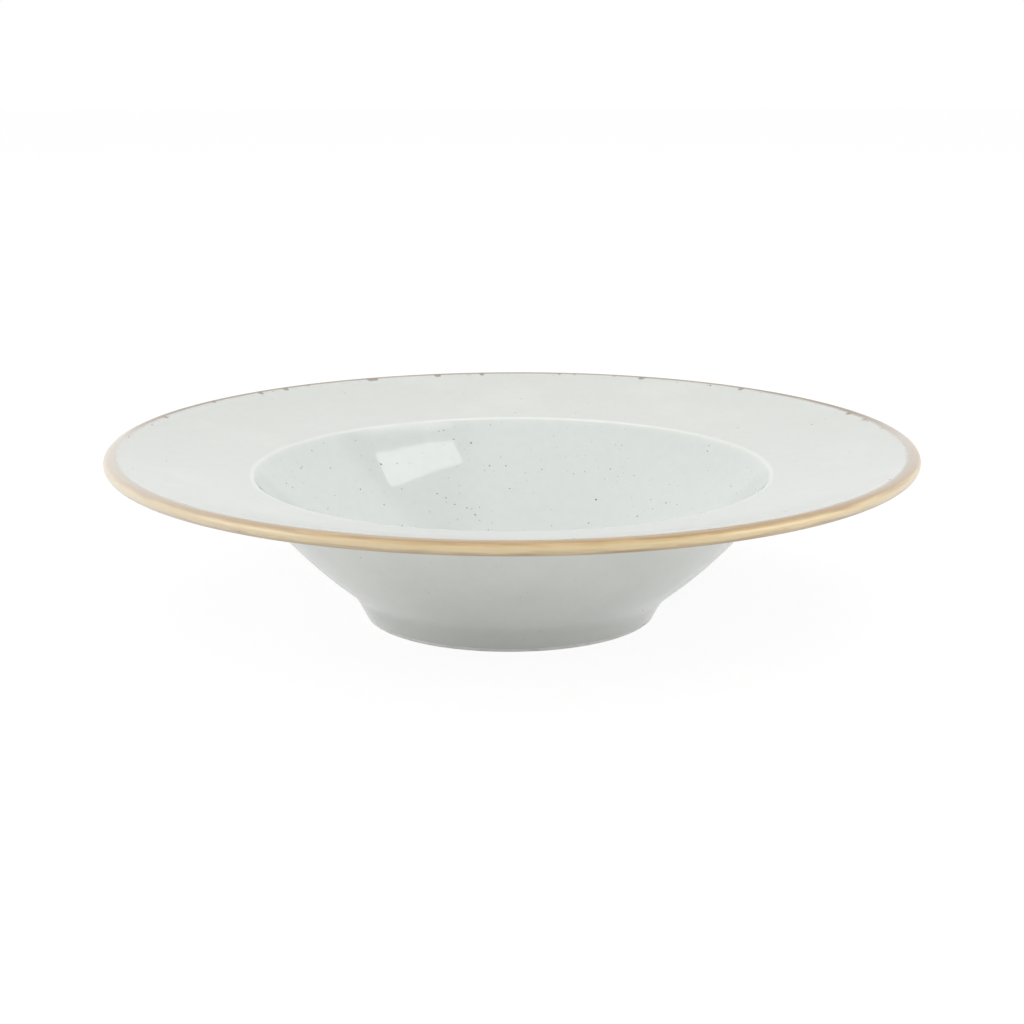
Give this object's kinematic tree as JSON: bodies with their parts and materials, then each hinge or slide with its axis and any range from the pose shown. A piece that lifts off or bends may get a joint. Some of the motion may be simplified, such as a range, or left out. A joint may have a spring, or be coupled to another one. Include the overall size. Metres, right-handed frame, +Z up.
{
  "type": "pasta plate",
  "caption": "Wide-rimmed glazed pasta plate: a deep conical well in a broad upswept rim, a tan band round its rounded lip, and a low bare foot ring to stand on.",
  "frame": {"origin": "centre of the foot ring, on the surface that the plate stands on", "axes": "+Z up along the plate's axis of rotation, out of the well"},
  "size_m": [0.3, 0.3, 0.065],
  "materials": {
    "bare_porcelain": "matte fired clay, sponged smooth",
    "speckled_glaze": "glossy off-white glaze with fine iron specks",
    "tan_band_glaze": "glossy tan glaze, brushed on, uneven at its edges"
  },
  "bodies": {
    "root": {"porcelain_body": "bare_porcelain", "face_glaze": "speckled_glaze", "rim_band": "tan_band_glaze", "back_glaze": "speckled_glaze", "recess_glaze": "speckled_glaze"}
  },
  "joints": []
}
